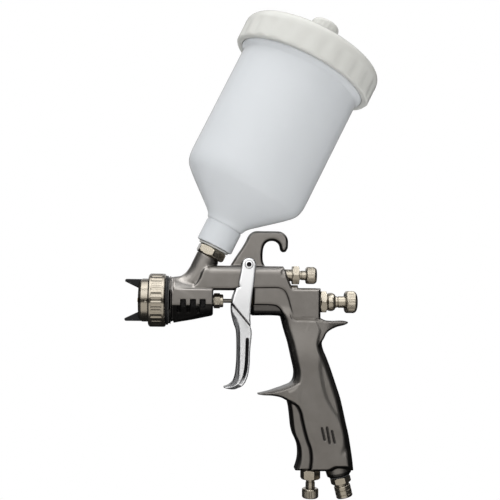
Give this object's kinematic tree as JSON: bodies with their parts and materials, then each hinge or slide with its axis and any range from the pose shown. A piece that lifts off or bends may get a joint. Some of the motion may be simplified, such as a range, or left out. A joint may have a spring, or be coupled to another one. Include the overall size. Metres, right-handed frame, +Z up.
{
  "type": "hvlp spray gun",
  "caption": "Gravity-feed spray gun with a tilted plastic cup and lid, horned air cap, coaxial air valve and fluid needle worked by a trigger, adjusting knobs and a hanging hook.",
  "frame": {"origin": "centre of the bottom of the whole gun's bounding box, under the handle", "axes": "+Z up with the barrel level, -X the way the jet leaves, Y across the gun"},
  "size_m": [0.185, 0.109, 0.3541],
  "materials": {
    "gunmetal": "satin gunmetal coating on a casting",
    "chrome": "polished chrome plate",
    "nickel": "nickel plate, slightly warm",
    "black_anodised": "black anodised",
    "steel": "machined stainless steel",
    "seal": "black rubber",
    "ptfe": "white plastic",
    "cup_plastic": "translucent bluish-white moulded plastic",
    "lid_plastic": "off-white moulded plastic",
    "brass": "machined brass"
  },
  "bodies": {
    "gun": {"gun_body": "gunmetal", "passage_plug": "steel", "air_distributor": "black_anodised", "head_gasket": "seal", "fluid_nozzle": "brass", "needle_packing": "ptfe", "packing_nut": "nickel", "needle_guide": "nickel", "guide_lock_ring": "nickel", "air_valve_body": "brass", "fluid_inlet_fitting": "nickel", "fan_valve_gland": "nickel", "air_control_gland": "nickel", "air_inlet_nipple": "nickel", "inlet_gasket": "seal", "trigger_pin": "steel", "trigger_pin_clip": "steel"},
    "cap": {"air_cap": "nickel"},
    "cap_ring": {"air_cap_ring": "nickel"},
    "cup_seal": {"cup_gasket": "ptfe"},
    "cup": {"cup_body": "cup_plastic", "cup_filter": "ptfe"},
    "lid_seal": {"lid_gasket": "seal"},
    "lid": {"cup_lid": "lid_plastic"},
    "vent": {"lid_vent_cap": "lid_plastic"},
    "trigger": {"trigger": "chrome"},
    "valve_stem": {"air_valve_stem": "steel", "air_valve_seal": "seal", "air_valve_spring": "steel"},
    "needle": {"fluid_needle": "steel", "needle_collar": "steel", "needle_spring": "steel"},
    "fluid_stop": {"fluid_stop": "steel"},
    "fluid_knob": {"fluid_knob": "nickel"},
    "fan_spindle": {"fan_spindle": "brass"},
    "fan_knob": {"fan_knob": "nickel"},
    "air_spindle": {"air_control_spindle": "brass"},
    "air_knob": {"air_control_knob": "nickel"}
  },
  "joints": [
    {"name": "ring_turn", "type": "hinge", "parent": "gun", "child": "cap_ring", "pos_m": [-0.06935, 0, 0.14267], "axis": [-1, 0, 0], "range_deg": [0, 360]},
    {"name": "cap_turn", "type": "hinge", "parent": "gun", "child": "cap", "pos_m": [-0.07735, 0, 0.14267], "axis": [-1, 0, 0], "range_deg": [0, 90]},
    {"name": "cup_lift", "type": "slide", "parent": "gun", "child": "cup_seal", "axis": [0.4384, 0, 0.8988], "range_m": [0, 0.06]},
    {"name": "cup_turn", "type": "hinge", "parent": "cup_seal", "child": "cup", "pos_m": [-0.04655, 0, 0.14267], "axis": [0.4384, 0, 0.8988], "range_deg": [0, 360]},
    {"name": "lid_lift", "type": "slide", "parent": "cup", "child": "lid_seal", "axis": [0.4384, 0, 0.8988], "range_m": [0, 0.06]},
    {"name": "lid_turn", "type": "hinge", "parent": "lid_seal", "child": "lid", "pos_m": [-0.04655, 0, 0.14267], "axis": [0.4384, 0, 0.8988], "range_deg": [0, 360]},
    {"name": "vent_turn", "type": "hinge", "parent": "lid", "child": "vent", "pos_m": [-0.04655, 0, 0.14267], "axis": [0.4384, 0, 0.8988], "range_deg": [0, 90]},
    {"name": "trigger_pull", "type": "hinge", "parent": "gun", "child": "trigger", "pos_m": [-0.00196, 0, 0.16897], "axis": [0, -1, 0], "range_deg": [0, 14]},
    {"name": "valve_stem_slide", "type": "slide", "parent": "gun", "child": "valve_stem", "axis": [1, 0, 0], "range_m": [0, 0.0066], "deforming": ["air_valve_spring"]},
    {"name": "needle_slide", "type": "slide", "parent": "gun", "child": "needle", "axis": [1, 0, 0], "range_m": [0, 0.0042], "deforming": ["needle_spring"]},
    {"name": "fluid_stop_slide", "type": "slide", "parent": "gun", "child": "fluid_stop", "axis": [1, 0, 0], "range_m": [-0.0046, 0.0024]},
    {"name": "fluid_knob_turn", "type": "hinge", "parent": "fluid_stop", "child": "fluid_knob", "pos_m": [0.07365, 0, 0.14267], "axis": [1, 0, 0], "range_deg": [-1440, 720]},
    {"name": "fan_spindle_slide", "type": "slide", "parent": "gun", "child": "fan_spindle", "axis": [1, 0, 0], "range_m": [-0.002, 0.003]},
    {"name": "fan_knob_turn", "type": "hinge", "parent": "fan_spindle", "child": "fan_knob", "pos_m": [0.04464, 0, 0.16197], "axis": [1, 0, 0], "range_deg": [-720, 1080]},
    {"name": "air_spindle_slide", "type": "slide", "parent": "gun", "child": "air_spindle", "axis": [0, 0, -1], "range_m": [-0.002, 0.003]},
    {"name": "air_knob_turn", "type": "hinge", "parent": "air_spindle", "child": "air_knob", "pos_m": [0.04494, 0, 0.00467], "axis": [0, 0, -1], "range_deg": [-720, 1080]}
  ],
  "couplings": [
    {"joint": "valve_stem_slide", "follows": "trigger_pull", "m_per_rad": 0.02695},
    {"joint": "needle_slide", "follows": "trigger_pull", "m_per_rad": 0.01715},
    {"joint": "fluid_stop_slide", "follows": "fluid_knob_turn", "m_per_rad": 0.00015915},
    {"joint": "fan_spindle_slide", "follows": "fan_knob_turn", "m_per_rad": 0.00015915},
    {"joint": "air_spindle_slide", "follows": "air_knob_turn", "m_per_rad": 0.00015915}
  ]
}
